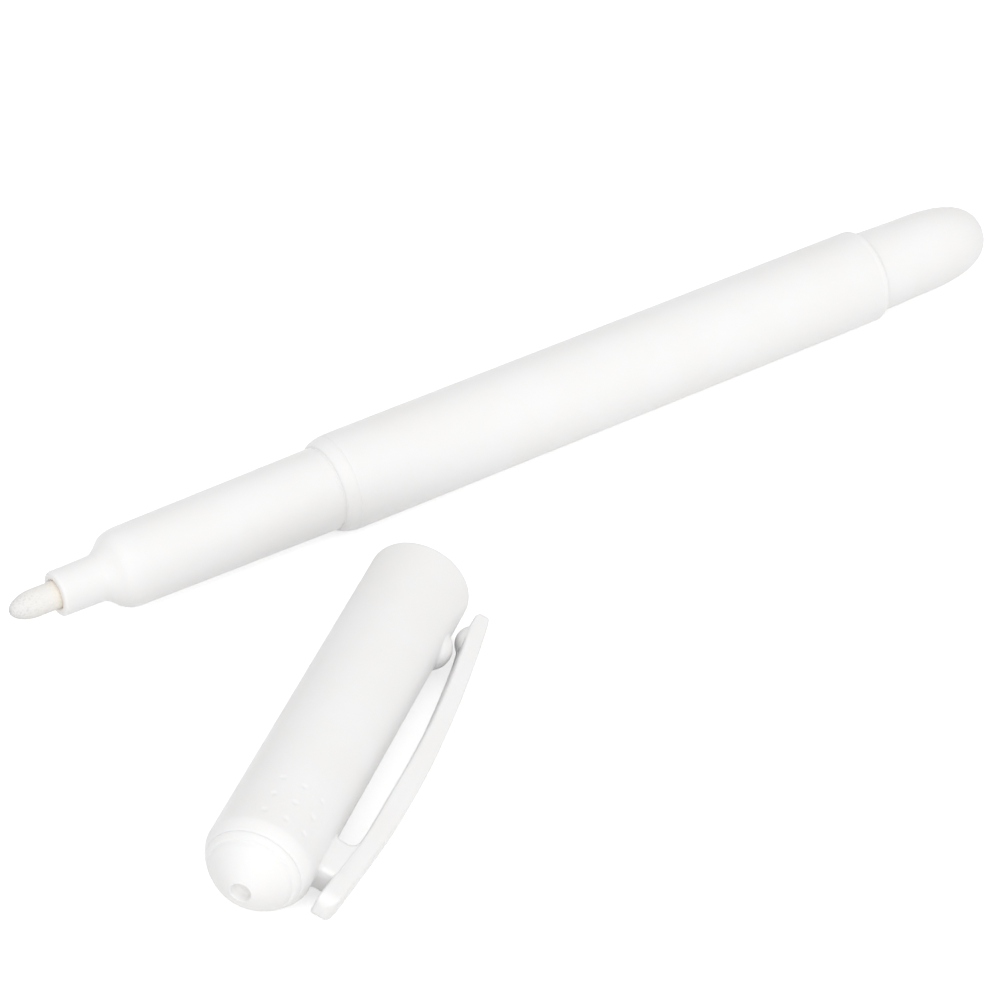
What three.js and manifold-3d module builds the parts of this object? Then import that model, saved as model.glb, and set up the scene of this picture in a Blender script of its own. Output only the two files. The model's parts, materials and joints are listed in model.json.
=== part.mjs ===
// A marking pen lying on its side, with its clip cap taken off and lying beside the writing end.
// Millimetres, +Z up, the table at z = 0, the pen along X with its nib towards -X.
import * as THREE from "three";
import { mergeVertices } from "three/addons/utils/BufferGeometryUtils.js";
import Module from "manifold-3d";

const solids = await Module();
solids.setup();

// Fineness of the turned shapes
const fine = 60;
const coarse = 32;

// Running and assembly clearances
const seatGap = 0.05;
const slideGap = 0.2;

// Barrel: a plain tube, stations measured from the step where the cap's mouth stops
const barrelDiameter = 11;
const barrelWall = 0.9;
const flangeLength = 1.5;
const barrelLength = 72.4;
const barrelRearRound = 0.6;
const seamDepth = 0.12;

// Front section: nozzle, shoulder, grip and the flange that closes the barrel
const gripFrontDiameter = 8.84;
const gripRearDiameter = 9.38;
const gripLength = 24.2;
const nozzleLength = 4.15;
const nozzleTipDiameter = 5.02;
const nozzleRound = 0.35;
const stepRoundLength = 2.7;
const shoulder = [
  [-29, 2.565],
  [-28.5, 2.59],
  [-28.1, 2.66],
  [-27.7, 2.81],
  [-27.3, 3.05],
  [-26.9, 3.36],
  [-26.57, 3.664],
  [-26.3, 3.9],
  [-26, 4.07],
  [-25.6, 4.235],
  [-25.1, 4.35],
  [-24.6, 4.405],
];
const spigotLength = 11;
const spigotThinning = 0.02;
const valveBoreDiameter = 6.8;

// Nib: a fibre rod with a bullet tip
const nibDiameter = 3.06;
const nibReach = 5.35;
const nibTipLength = 3;
const nibHold = 16;

// Valve behind the nib
const valveFront = 2;
const valveLength = 22;
const valveWall = 0.8;
const valveSeatThickness = 1.2;
const valveSeatBore = 2.4;
const stemDiameter = 1.6;
const stemFootDiameter = 2.6;
const stemFootLength = 1;
const plungerDiameter = 4.2;
const plungerLength = 1.6;
const stemTailLength = 4;
const nibTravel = 1.5;
const springWire = 0.34;
const springDiameter = 3.2;
const springTurns = 7;
const cageLength = 2.4;
const cageBore = 2.4;

// Mixing ball in the ink tank
const ballDiameter = 5;
const ballStart = 34;

// Tail plug
const plugDiameter = 9.66;
const plugWaistDiameter = 9.36;
const plugTaperLength = 6.1;
const plugDomeLength = 10.83;
const plugDomePower = 2.9;
const plugSpigotLength = 8;
const plugWall = 1.2;

// Cap: shell, crown pressed into its closed end, liner that seals on the nozzle
const capDiameter = 11.12;
const capLength = 50.25;
const capDomeLength = 5.05;
const capDomePower = 1.54;
const capMouthWall = 0.72;
const capMouthDepth = 26;
const capMidWall = 1.3;
const crownDiameter = 10;
const crownWall = 1.4;
const crownPlugLength = 4;
const crownSeamDepth = 0.1;
const crownLineDiameter = 8.7;
const crownLineDepth = 0.06;
const ventDiameter = 2.2;
const ventDepth = 0.6;
const linerLength = 13;
const linerWall = 0.8;
const linerLipLength = 1.8;
const linerMouthDiameter = 5.5;
const linerMouthFrom = 28.4;

// Rows of small dimples on the cap's side
const dimpleDiameter = 0.72;
const dimpleDepth = 0.22;
const dimpleRows = 3;
const dimpleColumns = 3;
const dimpleRowStep = 2.45;
const dimpleColumnAngle = 23.7;
const dimpleCentre = 41.4;
const dimpleFromClip = 87;

// Clip: heights are above the cap's wall, stations from the cap's mouth
const clipWidth = 3.4;
const clipFootWidth = 2.9;
const clipFootFrom = 38.75;
const clipFootTo = 43.5;
const clipSplit = 37.3;
const clipFlexGap = 0.06;
const clipOuter = [
  [0.95, 2.66],
  [2.33, 2.9],
  [4, 3.12],
  [6.3, 3.4],
  [10.4, 3.84],
  [14.5, 4.2],
  [19.6, 4.51],
  [23.8, 4.69],
  [26.5, 4.71],
  [29.8, 4.65],
  [32.9, 4.5],
  [36.1, 4.25],
  [39.4, 3.91],
  [42.5, 3.6],
  [45.1, 3.33],
];
const clipInner = [
  [1.4, 1.12],
  [3.6, 1.08],
  [5.4, 1.36],
  [6.9, 1.58],
  [8.4, 1.73],
  [11.6, 2.01],
  [14.9, 2.24],
  [19, 2.43],
  [22.4, 2.46],
  [26, 2.42],
  [29.5, 2.35],
  [33.8, 2.28],
  [37.3, 2.14],
];
const clipTip = [
  [1.08, 1.28],
  [0.86, 1.55],
  [0.76, 1.88],
  [0.74, 2.2],
  [0.8, 2.5],
];
const heelLower = [
  [46.5, 1.09],
  [46, 1.12],
  [43.5, 1.41],
  [39.66, 1.85],
];
const heelFace = [
  [45.7, 3.23],
  [46.25, 3.03],
  [46.65, 2.74],
  [46.88, 2.38],
  [46.95, 2],
  [46.9, 1.55],
  [46.76, 1.25],
];
const tipCornerRound = 1;
const heelCornerRound = 1.1;
const slotCorner = [
  [38.75, 1.2],
  [38.55, 1.62],
  [38.2, 1.92],
  [37.65, 2.14],
];
const clipBumpCentre = 3.9;
const clipBumpReach = 0.43;
const clipBumpRadius = 1.97;
const capBumpCentre = 7.5;
const capBumpReach = 1.01;
const capBumpRadius = 2.38;

// Where the cap lies: the middle of its mouth from the barrel's step, and the turn of its axis
const capMouthX = -0.62;
const capMouthY = -19.97;
const capTurn = 37.01;

const degrees = Math.PI / 180;

// A closed geometry with its faces out: one vertex per place, turned over if its volume is negative.
function closed(geometry) {
  const bare = new THREE.BufferGeometry();
  bare.setAttribute("position", geometry.getAttribute("position"));
  if (geometry.index) bare.setIndex(geometry.index);
  const merged = mergeVertices(bare, 1e-4);
  const p = merged.attributes.position;
  const list = [];
  const corner = [0, 1, 2].map(() => new THREE.Vector3());
  let volume = 0;
  for (let i = 0; i < merged.index.count; i += 3) {
    const [a, b, c] = [0, 1, 2].map((k) => merged.index.getX(i + k));
    if (a === b || b === c || c === a) continue;
    [a, b, c].forEach((n, k) => corner[k].fromBufferAttribute(p, n));
    volume += corner[0].dot(corner[1].clone().cross(corner[2]));
    list.push(a, b, c);
  }
  if (volume < 0)
    for (let i = 0; i < list.length; i += 3)
      [list[i + 1], list[i + 2]] = [list[i + 2], list[i + 1]];
  merged.setIndex(list);
  return merged;
}

// A shape turned about the X axis from [station, radius] points.
function turned(points, segments = fine) {
  const profile = points.map(([x, r]) => new THREE.Vector2(Math.max(r, 0), x));
  const made = new THREE.LatheGeometry(profile, segments);
  made.rotateZ(-Math.PI / 2);
  return closed(made);
}

// A tube or ring: outer points from front to back, inner points from front to back.
function ring(outer, inner, segments = fine) {
  const loop = [...outer, ...[...inner].reverse()];
  return turned([...loop, loop[0]], segments);
}

// A flat outline in the XZ plane, given as [x, z], thickened across Y about y = 0.
function slab(outline, width) {
  const shape = new THREE.Shape(outline.map(([x, z]) => new THREE.Vector2(x, z)));
  const made = new THREE.ExtrudeGeometry(shape, { depth: width, bevelEnabled: false, steps: 1 });
  made.translate(0, 0, -width / 2);
  made.rotateX(Math.PI / 2);
  return closed(made);
}

// A flat outline in the XY plane, given as [x, y], thickened along Z from low to high.
function plate(outline, low, high) {
  const shape = new THREE.Shape(outline.map(([x, y]) => new THREE.Vector2(x, y)));
  const depth = high - low;
  const made = new THREE.ExtrudeGeometry(shape, { depth, bevelEnabled: false, steps: 1 });
  made.translate(0, 0, low);
  return closed(made);
}

function solidOf(geometry) {
  const g = closed(geometry);
  return new solids.Manifold(
    new solids.Mesh({
      numProp: 3,
      vertProperties: new Float32Array(g.attributes.position.array),
      triVerts: new Uint32Array(g.index.array),
    }),
  );
}

function geometryOf(solid) {
  const m = solid.getMesh();
  const places = new Float32Array(m.numVert * 3);
  for (let i = 0; i < m.numVert; i++)
    places.set(m.vertProperties.subarray(i * m.numProp, i * m.numProp + 3), i * 3);
  const g = new THREE.BufferGeometry();
  g.setAttribute("position", new THREE.BufferAttribute(places, 3));
  g.setIndex(new THREE.BufferAttribute(new Uint32Array(m.triVerts), 1));
  return g;
}

function minus(body, cutters) {
  return geometryOf(cutters.reduce((s, c) => s.subtract(solidOf(c)), solidOf(body)));
}

function within(body, limit) {
  return geometryOf(solidOf(body).intersect(solidOf(limit)));
}

function plus(body, others) {
  return geometryOf(others.reduce((s, c) => s.add(solidOf(c)), solidOf(body)));
}

// Points on a quarter of a rounded end: from radius r at x0 to the axis side r0 at x0 + length.
function roundedEnd(x0, r, length, power, steps, r0 = 0) {
  const out = [];
  for (let i = 0; i <= steps; i++) {
    const a = (i / steps) * (Math.PI / 2);
    const along = Math.pow(Math.sin(a), 2 / power);
    const across = Math.pow(Math.max(Math.cos(a), 0), 2 / power);
    out.push([x0 + length * along, r0 + (r - r0) * across]);
  }
  return out;
}

const plastic = (colour) =>
  new THREE.MeshStandardMaterial({ color: colour, roughness: 0.35, metalness: 0 });
const white = plastic(0xf4f4f2);
const milky = plastic(0xe6e6e0);
const fibre = new THREE.MeshStandardMaterial({ color: 0xf1ece2, roughness: 0.95 });
const steel = new THREE.MeshStandardMaterial({ color: 0xb8bcc0, roughness: 0.25, metalness: 1 });

const pen = new THREE.Group();
const cap = new THREE.Group();
function add(group, name, geometry, material) {
  const mesh = new THREE.Mesh(geometry, material);
  mesh.name = name;
  group.add(mesh);
  return mesh;
}

// Shared radii and stations of the pen
const barrelR = barrelDiameter / 2;
const boreR = barrelR - barrelWall;
const barrelFront = flangeLength;
const barrelRear = flangeLength + barrelLength;
const gripRearR = gripRearDiameter / 2;
const gripFrontR = gripFrontDiameter / 2;
const nozzleRoot = shoulder[0][0];
const nozzleTip = nozzleRoot - nozzleLength;
const nozzleTipR = nozzleTipDiameter / 2;
const nibR = nibDiameter / 2;
const nibTip = nozzleTip - nibReach;
const nibRear = nozzleTip + nibHold;
const nozzleBoreR = nibR + slideGap;
const valveBoreR = valveBoreDiameter / 2;
const valveStart = nibRear - valveFront;
const valveEnd = valveStart + valveLength;
const spigotEnd = barrelFront + spigotLength;
const spigotR = boreR - seatGap - spigotThinning;

// Radius of the long rounding that runs from the step over the seam onto the barrel
function stepRadius(x) {
  const k = Math.min(Math.max((stepRoundLength - x) / stepRoundLength, 0), 1);
  return gripRearR + (barrelR - gripRearR) * Math.sqrt(1 - k * k);
}

// Barrel
const barrelOuter = [
  [barrelFront, stepRadius(barrelFront) - seamDepth],
  [barrelFront + seamDepth, stepRadius(barrelFront + seamDepth)],
  [(barrelFront + stepRoundLength) / 2, stepRadius((barrelFront + stepRoundLength) / 2)],
  [stepRoundLength, barrelR],
  ...roundedEnd(barrelRear - barrelRearRound, barrelR, barrelRearRound, 2, 4, barrelR - barrelRearRound),
];
add(
  pen,
  "barrel",
  ring(barrelOuter, [
    [barrelFront, boreR],
    [barrelRear, boreR],
  ]),
  white,
);

// Front section
const stepCurve = [0.06, 0.25, 0.6, 1].map((k) => {
  const x = k * (flangeLength - seamDepth);
  return [x, stepRadius(x)];
});
const sectionOuter = [
  [nozzleTip, nozzleTipR - nozzleRound],
  [nozzleTip + nozzleRound * 0.3, nozzleTipR - nozzleRound * 0.3],
  [nozzleTip + nozzleRound, nozzleTipR],
  ...shoulder,
  [-gripLength, gripFrontR],
  [0, gripRearR],
  ...stepCurve,
  [flangeLength, stepRadius(flangeLength) - seamDepth],
  [flangeLength, spigotR],
  [spigotEnd - 0.5, spigotR],
  [spigotEnd, spigotR - 0.3],
];
const sectionInner = [
  [nozzleTip, nozzleBoreR],
  [valveStart - 1.2, nozzleBoreR],
  [valveStart - 0.2, valveBoreR],
  [spigotEnd, valveBoreR],
];
add(pen, "front_section", ring(sectionOuter, sectionInner), white);

// Nib
const nibFront = nibTip + nibTipLength;
add(
  pen,
  "nib",
  turned(
    [
      ...roundedEnd(-nibFront, nibR, nibTipLength, 2, 7).map(([x, r]) => [-x, r]).reverse(),
      [nibRear - 0.3, nibR],
      [nibRear, nibR - 0.3],
      [nibRear, 0],
    ],
    coarse,
  ),
  fibre,
);

// Valve body: a sleeve in the section's bore, with a seat that the plunger closes from behind
const valveR = valveBoreR - seatGap;
const seatFront = nibRear + nibTravel + stemFootLength + 0.8;
const seatBack = seatFront + valveSeatThickness;
add(
  pen,
  "valve_body",
  ring(
    [
      [valveStart, valveR],
      [valveEnd, valveR],
    ],
    [
      [valveStart, nibR + slideGap],
      [nibRear, nibR + slideGap],
      [nibRear + 0.6, valveR - valveWall],
      [seatFront, valveR - valveWall],
      [seatFront, valveSeatBore / 2],
      [seatBack, valveSeatBore / 2],
      [seatBack + 0.5, valveR - valveWall],
      [valveEnd, valveR - valveWall],
    ],
    coarse,
  ),
  milky,
);

// Valve stem: its foot meets the nib, its plunger rests on the seat
const footFront = nibRear + seatGap;
const plungerFront = seatBack + 0.5 + seatGap;
const plungerBack = plungerFront + plungerLength;
const stemEnd = plungerBack + stemTailLength;
add(
  pen,
  "valve_stem",
  turned(
    [
      [footFront, 0],
      [footFront, stemFootDiameter / 2],
      [footFront + stemFootLength, stemFootDiameter / 2],
      [footFront + stemFootLength, stemDiameter / 2],
      [plungerFront - 0.5, stemDiameter / 2],
      [plungerFront, plungerDiameter / 2 - 0.5],
      [plungerFront + 0.4, plungerDiameter / 2],
      [plungerBack, plungerDiameter / 2],
      [plungerBack, stemDiameter / 2],
      [stemEnd, stemDiameter / 2],
      [stemEnd, 0],
    ],
    coarse,
  ),
  milky,
);

// Valve cage: the retainer that the spring pushes against
const cageFront = valveEnd - cageLength;
add(
  pen,
  "valve_cage",
  ring(
    [
      [cageFront, valveR - valveWall - seatGap],
      [valveEnd + seatGap, valveR - valveWall - seatGap],
      [valveEnd + seatGap, valveR],
      [valveEnd + seatGap + 0.8, valveR],
    ],
    [
      [cageFront, cageBore / 2],
      [valveEnd + seatGap + 0.8, cageBore / 2],
    ],
    coarse,
  ),
  milky,
);

// Valve spring
const springFront = plungerBack + springWire / 2 + seatGap;
const springBack = cageFront - springWire / 2 - seatGap;
const springSteps = springTurns * 10;
const springPath = [];
for (let i = 0; i <= springSteps; i++) {
  const a = (i / springSteps) * springTurns * 2 * Math.PI;
  const x = springFront + ((springBack - springFront) * i) / springSteps;
  springPath.push(
    new THREE.Vector3(x, (springDiameter / 2) * Math.cos(a), (springDiameter / 2) * Math.sin(a)),
  );
}
function tube(path, radius, sides) {
  const places = [];
  const faces = [];
  path.forEach((point, i) => {
    const before = path[Math.max(i - 1, 0)];
    const after = path[Math.min(i + 1, path.length - 1)];
    const along = after.clone().sub(before).normalize();
    const out = new THREE.Vector3(0, point.y, point.z).normalize();
    const side = along.clone().cross(out).normalize();
    const lift = side.clone().cross(along).normalize();
    for (let k = 0; k < sides; k++) {
      const a = (k / sides) * 2 * Math.PI;
      const place = point
        .clone()
        .addScaledVector(lift, radius * Math.cos(a))
        .addScaledVector(side, radius * Math.sin(a));
      places.push(place.x, place.y, place.z);
    }
  });
  for (let i = 0; i < path.length - 1; i++)
    for (let k = 0; k < sides; k++) {
      const a = i * sides + k;
      const b = i * sides + ((k + 1) % sides);
      faces.push(a, b, a + sides, b, b + sides, a + sides);
    }
  const last = (path.length - 1) * sides;
  for (let k = 1; k < sides - 1; k++) {
    faces.push(0, k + 1, k);
    faces.push(last, last + k, last + k + 1);
  }
  const g = new THREE.BufferGeometry();
  g.setAttribute("position", new THREE.BufferAttribute(new Float32Array(places), 3));
  g.setIndex(faces);
  return closed(g);
}
add(pen, "valve_spring", tube(springPath, springWire / 2, 6), steel);

// Mixing ball, low in the tank
const ballR = ballDiameter / 2;
const ballPoints = [];
for (let i = 0; i <= 12; i++) {
  const a = (i / 12) * Math.PI;
  ballPoints.push([ballStart - ballR * Math.cos(a), i % 12 ? ballR * Math.sin(a) : 0]);
}
const ball = turned(ballPoints, 24);
ball.translate(0, 0, -(boreR * Math.cos(Math.PI / fine) - ballR - slideGap / 2));
add(pen, "mixing_ball", ball, steel);

// Tail plug: a hollow dome whose shoulder stops on the barrel's end
const plugR = plugDiameter / 2;
const plugWaistR = plugWaistDiameter / 2;
const plugWaist = barrelRear + plugTaperLength;
const plugFront = barrelRear - plugSpigotLength;
const plugSpigotR = boreR - seatGap;
const plugHollow = plugWaist + plugDomeLength * 0.35;
add(
  pen,
  "tail_plug",
  turned([
    [plugHollow, 0],
    [plugHollow - 1.5, plugSpigotR - plugWall - 1],
    [plugHollow - 3, plugSpigotR - plugWall],
    [plugFront, plugSpigotR - plugWall],
    [plugFront, plugSpigotR - 0.3],
    [plugFront + 0.6, plugSpigotR],
    [barrelRear + seatGap, plugSpigotR],
    [barrelRear + seatGap, plugR - 0.12],
    [barrelRear + seatGap + 0.15, plugR],
    ...roundedEnd(plugWaist, plugWaistR, plugDomeLength, plugDomePower, 14),
  ]),
  white,
);

// Shared radii and stations of the cap: its mouth at x = 0, its closed end towards -X, its clip along +Z
const capR = capDiameter / 2;
const domeStart = capLength - capDomeLength;
const crownR = crownDiameter / 2;
function capRadius(from) {
  if (from <= domeStart) return capR;
  const k = Math.min((from - domeStart) / capDomeLength, 1);
  return capR * Math.pow(1 - Math.pow(k, capDomePower), 1 / capDomePower);
}
const crownSeam =
  domeStart +
  capDomeLength * Math.pow(1 - Math.pow(crownR / capR, capDomePower), 1 / capDomePower);
const mouthR = capR - capMouthWall;
const midR = capR - capMidWall;
const crownPlugR = crownR - 0.25;
const crownPocket = crownSeam - crownPlugLength - seatGap;

// Cap shell with its bump and dimples
const shellDome = [];
for (let i = 1; i <= 5; i++) {
  const from = domeStart + ((crownSeam - seatGap - domeStart) * i) / 5;
  shellDome.push([-from, capRadius(from)]);
}
const shellOuter = [
  [0, capR - 0.15],
  [-0.15, capR],
  [-domeStart, capR],
  ...shellDome,
  [-(crownSeam - seatGap), capRadius(crownSeam) - crownSeamDepth],
];
const shellInner = [
  [0, mouthR + 0.1],
  [-0.1, mouthR],
  [-capMouthDepth, mouthR],
  [-(capMouthDepth + 0.5), midR],
  [-crownPocket, midR],
  [-crownPocket, crownPlugR + seatGap],
  [-(crownSeam - seatGap), crownPlugR + seatGap],
];
const bumpPoints = [];
for (let i = 0; i <= 24; i++) {
  const a = (i / 24) * Math.PI;
  bumpPoints.push([-Math.cos(a), i % 24 ? Math.sin(a) : 0]);
}
const pitPoints = bumpPoints.filter((_, i) => i % 3 === 0);
function button(from, height, radius) {
  const made = turned(bumpPoints, 40);
  made.scale(radius, radius, radius);
  made.translate(-from, 0, capR + height);
  return closed(made);
}
const dimples = [];
for (let row = 0; row < dimpleRows; row++)
  for (let column = 0; column < dimpleColumns; column++) {
    const pit = turned(pitPoints, 10);
    pit.scale(dimpleDiameter / 2, dimpleDiameter / 2, dimpleDepth);
    pit.translate(-(dimpleCentre + (row - (dimpleRows - 1) / 2) * dimpleRowStep), 0, capR);
    const angle = dimpleFromClip + (column - (dimpleColumns - 1) / 2) * dimpleColumnAngle;
    pit.rotateX(-angle * degrees);
    dimples.push(pit);
  }
const capButton = within(
  button(capBumpCentre, capBumpReach - capBumpRadius, capBumpRadius),
  plate(
    [
      [-20, -4],
      [4, -4],
      [4, 4],
      [-20, 4],
    ],
    Math.sqrt(capR * capR - 2.4 * 2.4) - 0.3,
    capR + 2,
  ),
);
add(cap, "cap_shell", minus(plus(ring(shellOuter, shellInner), [capButton]), dimples), white);

// Crown: the domed disc in the shell's closed end, with the small moulding recess in its middle
const ventR = ventDiameter / 2;
const lineR = crownLineDiameter / 2;
const crownOuter = [];
const crownRadii = [1.1, 1.5, 2, 2.6, 3.2, 3.7, lineR - 0.14, lineR, lineR + 0.14, 4.75, crownR];
for (const r of crownRadii) {
  const k = Math.pow(1 - Math.pow(r / capR, capDomePower), 1 / capDomePower);
  const inset = r === lineR ? crownLineDepth : 0;
  crownOuter.push([-(domeStart + capDomeLength * k - inset), r]);
}
const apex = -crownOuter[0][0];
add(
  cap,
  "cap_crown",
  turned([
    [-(apex - ventDepth), 0],
    [-(apex - ventDepth), ventR * 0.8],
    ...crownOuter,
    [-(crownSeam + 0.02), crownR - crownSeamDepth],
    [-(crownSeam + 0.02), crownPlugR],
    [-(crownSeam - crownPlugLength + 0.3), crownPlugR],
    [-(crownSeam - crownPlugLength), crownPlugR - 0.3],
    [-(crownSeam - crownPlugLength), crownPlugR - crownWall],
    [-(crownSeam - crownPlugLength + 1.2), crownPlugR - crownWall],
    [-(apex - ventDepth - crownWall), 0.6],
    [-(apex - ventDepth - crownWall), 0],
  ]),
  white,
);

// Liner: the inner cup that seals on the nozzle when the cap is on
const linerR = midR - seatGap;
const linerEnd = linerMouthFrom + linerLength;
add(
  cap,
  "inner_cap",
  turned(
    [
      [-linerEnd, 0],
      [-linerEnd, linerR - 0.4],
      [-(linerEnd - 0.4), linerR],
      [-linerMouthFrom, linerR],
      [-linerMouthFrom, linerMouthDiameter / 2],
      [-(linerMouthFrom + linerLipLength), linerMouthDiameter / 2],
      [-(linerMouthFrom + linerLipLength + 0.6), linerR - linerWall],
      [-(linerEnd - linerWall), linerR - linerWall],
      [-(linerEnd - linerWall), 0],
    ],
    coarse,
  ),
  milky,
);

// Clip: a bowed arm that flexes, and the foot and heel that carry it
const curve = (points) =>
  new THREE.CatmullRomCurve3(points.map(([x, h]) => new THREE.Vector3(x, h, 0)), false, "centripetal");
function heightAt(points, from) {
  const c = curve(points);
  let best = null;
  for (let i = 0; i <= 400; i++) {
    const p = c.getPoint(i / 400);
    if (!best || Math.abs(p.x - from) < Math.abs(best.x - from)) best = p;
  }
  return best.y;
}
function stretch(points, from, to, steps) {
  const out = [];
  for (let i = 0; i <= steps; i++) {
    const at = from + ((to - from) * i) / steps;
    out.push([-at, capR + heightAt(points, at)]);
  }
  return out;
}
const above = (points) => points.map(([from, height]) => [-from, capR + height]);
function roundedPlan(x0, x1, width, radius) {
  const side = Math.sign(x1 - x0);
  const corner = [];
  for (let i = 0; i <= 6; i++) {
    const a = (i / 6) * (Math.PI / 2);
    corner.push([x1 - side * radius * (1 - Math.cos(a)), width / 2 - radius * (1 - Math.sin(a))]);
  }
  return [[x0, -width / 2], ...corner.map(([x, y]) => [x, -y]).reverse(), ...corner, [x0, width / 2]];
}
const armEnd = clipSplit - clipFlexGap / 2;
const armOutline = [
  ...above(clipTip),
  ...stretch(clipOuter, clipOuter[0][0], armEnd, 22),
  ...stretch(clipInner, clipInner[0][0], armEnd, 22).reverse(),
];
const armSlab = within(
  slab(armOutline, clipWidth),
  plate(roundedPlan(-armEnd - 2, -clipTip[2][0], clipWidth, tipCornerRound), capR, capR + 7),
);
const clipButton = within(
  button(clipBumpCentre, clipBumpReach + clipBumpRadius, clipBumpRadius),
  plate(
    [
      [-20, -clipWidth / 2],
      [4, -clipWidth / 2],
      [4, clipWidth / 2],
      [-20, clipWidth / 2],
    ],
    capR,
    capR + heightAt(clipInner, clipBumpCentre) + 0.5,
  ),
);
add(cap, "clip_arm", plus(armSlab, [clipButton]), white);

const baseFrom = clipSplit + clipFlexGap / 2;
const heelEnd = heelFace[4][0];
const heelOutline = [
  ...stretch(clipOuter, baseFrom, clipOuter.at(-1)[0], 8),
  ...above(heelFace),
  ...above(heelLower),
  [-baseFrom, capR + heightAt(clipInner, clipSplit)],
];
const footOutline = [
  [-clipFootTo, capR - 1],
  [-clipFootTo, capR + heelLower[2][1] + 0.3],
  ...above([[slotCorner[3][0], slotCorner[3][1] + 0.3]]),
  ...above(slotCorner).reverse(),
  [-clipFootFrom, capR - 1],
];
const heelSlab = within(
  slab(heelOutline, clipWidth),
  plate(roundedPlan(-baseFrom + 2, -heelEnd, clipWidth, heelCornerRound), capR, capR + 7),
);
const footGap = 0.1;
const wallCutter = turned([
  [-(capLength + 4), 0],
  [-(capLength + 4), capRadius(capLength)],
  ...[1, 0.97, 0.9, 0.8, 0.65, 0.45, 0.2, 0].map((k) => {
    const from = domeStart + capDomeLength * k;
    return [-from - footGap * k, capRadius(from) + footGap];
  }),
  [4, capR + footGap],
  [4, 0],
]);
const base = plus(heelSlab, [slab(footOutline, clipFootWidth)]);
add(cap, "clip_base", minus(base, [wallCutter]), white);

// The pen rests on its barrel, the cap on its shell and the clip's lower edge
const clipReach = Math.max(...armOutline.map(([, z]) => z));
const clipFall =
  Math.asin(capR / Math.hypot(clipReach, clipWidth / 2)) - Math.atan2(clipWidth / 2, clipReach);
pen.position.z = barrelR;
cap.rotation.x = Math.PI / 2 + clipFall;
const capTurned = new THREE.Group();
capTurned.add(cap);
capTurned.rotation.z = capTurn * degrees;
capTurned.position.set(capMouthX, capMouthY, capR);

// The frame's origin is the middle of the part's outline, on the table
const part = new THREE.Group();
part.add(pen, capTurned);
part.updateMatrixWorld(true);
const bounds = new THREE.Box3().setFromObject(part, true);
const middle = bounds.getCenter(new THREE.Vector3());
part.position.set(-middle.x, -middle.y, 0);

export default part;
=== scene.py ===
import json
import math
import bmesh
import bpy
from mathutils import Matrix, Vector


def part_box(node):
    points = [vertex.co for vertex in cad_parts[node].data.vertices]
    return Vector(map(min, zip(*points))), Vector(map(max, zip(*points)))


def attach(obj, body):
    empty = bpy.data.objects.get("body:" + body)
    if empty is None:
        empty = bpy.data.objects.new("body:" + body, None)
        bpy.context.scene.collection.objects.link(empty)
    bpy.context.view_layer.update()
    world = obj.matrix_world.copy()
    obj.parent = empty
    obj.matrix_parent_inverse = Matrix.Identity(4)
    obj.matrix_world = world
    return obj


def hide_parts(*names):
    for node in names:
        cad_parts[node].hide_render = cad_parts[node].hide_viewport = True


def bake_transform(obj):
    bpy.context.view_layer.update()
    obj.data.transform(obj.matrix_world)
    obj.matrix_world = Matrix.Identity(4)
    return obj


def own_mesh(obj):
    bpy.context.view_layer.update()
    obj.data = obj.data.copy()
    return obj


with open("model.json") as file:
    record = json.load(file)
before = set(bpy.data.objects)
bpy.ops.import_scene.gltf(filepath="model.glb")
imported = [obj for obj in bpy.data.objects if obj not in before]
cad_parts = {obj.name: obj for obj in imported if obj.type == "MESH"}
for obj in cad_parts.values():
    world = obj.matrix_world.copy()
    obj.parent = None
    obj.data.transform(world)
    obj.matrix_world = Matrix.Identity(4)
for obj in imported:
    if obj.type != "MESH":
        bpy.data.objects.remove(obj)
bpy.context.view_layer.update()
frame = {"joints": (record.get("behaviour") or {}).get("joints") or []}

# The modelling is in millimetres and the shared frame in metres
millimetre = 0.001
perMetre = 1000

# Where the pen and the loose cap lie, in millimetres from the barrel's step
lay = {
    "flangeLength": 1.5,
    "penHeight": 5.5,
    "capMouth": (-0.62, -19.97, 5.56),
    "capTurn": 37.01,
}
barrelLow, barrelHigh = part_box("barrel")
stepPoint = Vector((
    barrelLow.x * perMetre - lay["flangeLength"],
    (barrelLow.y + barrelHigh.y) * perMetre / 2,
    0,
))
penPlace = Matrix.Translation(stepPoint + Vector((0, 0, lay["penHeight"])))
clipJoint = next(joint for joint in frame["joints"] if joint["name"] == "clip_flex")
capAlong = Matrix.Rotation(math.radians(lay["capTurn"]), 3, "Z") @ Vector((1, 0, 0))
capAcross = -Vector(clipJoint["axis"]).normalized()
capClip = capAlong.cross(capAcross).normalized()
capTurned = Matrix((capAlong, capAcross, capClip)).transposed().to_4x4()
capPlace = Matrix.Translation(stepPoint + Vector(lay["capMouth"])) @ capTurned

# Small helpers for modelling along the X axis in millimetres
modelling = {
    "pole": 0.0006,
    "sameRadius": 1e-7,
    "merge": 0.003,
    "turnedAngle": 35,
    "sweptAngle": 45,
    "cornerSteps": 5,
}


def freeSelection():
    if bpy.context.object and bpy.context.object.mode != "OBJECT":
        bpy.ops.object.mode_set(mode="OBJECT")
    bpy.ops.object.select_all(action="DESELECT")


def takeUp(piece):
    freeSelection()
    piece.select_set(True)
    bpy.context.view_layer.objects.active = piece


def nameNew(name):
    piece = bpy.context.object
    piece.name = name
    piece.data.name = name
    return piece


def closeUp(angle):
    # Doubles merged, faces turned out, edges flatter than the angle shaded soft
    bpy.ops.mesh.select_all(action="SELECT")
    bpy.ops.mesh.remove_doubles(threshold=modelling["merge"])
    bpy.ops.mesh.normals_make_consistent(inside=False)
    bpy.ops.object.mode_set(mode="OBJECT")
    bpy.ops.object.shade_smooth_by_angle(angle=math.radians(angle))


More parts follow.
